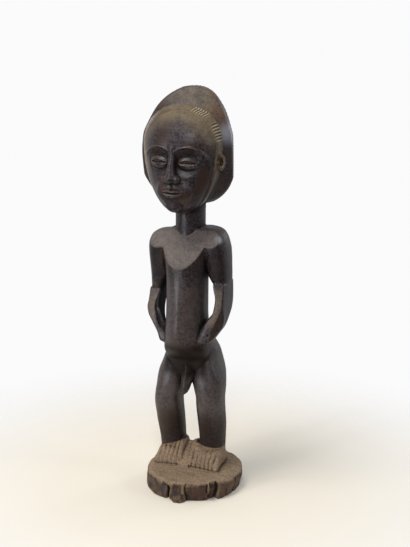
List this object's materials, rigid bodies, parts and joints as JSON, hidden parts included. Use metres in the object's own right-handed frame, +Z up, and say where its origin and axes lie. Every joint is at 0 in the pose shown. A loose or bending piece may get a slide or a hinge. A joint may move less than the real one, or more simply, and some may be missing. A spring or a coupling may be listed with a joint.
{
  "type": "hemba figure",
  "caption": "Standing male ancestor figure in dark patinated wood, hands on its flanks, swept-back coiffure, carved in one piece with its round notched base.",
  "frame": {"origin": "centre of the base's underside", "axes": "+Z up along the figure, the figure faces -Y, +X is its left side"},
  "size_m": [0.1519, 0.1545, 0.6],
  "materials": {
    "patinated_wood": "dark brown-black patina, rubbed to a satin gloss on the head, shoulders and belly, dry and dusty on the chest, feet and base"
  },
  "bodies": {
    "root": {"hemba_figure": "patinated_wood"}
  },
  "joints": []
}
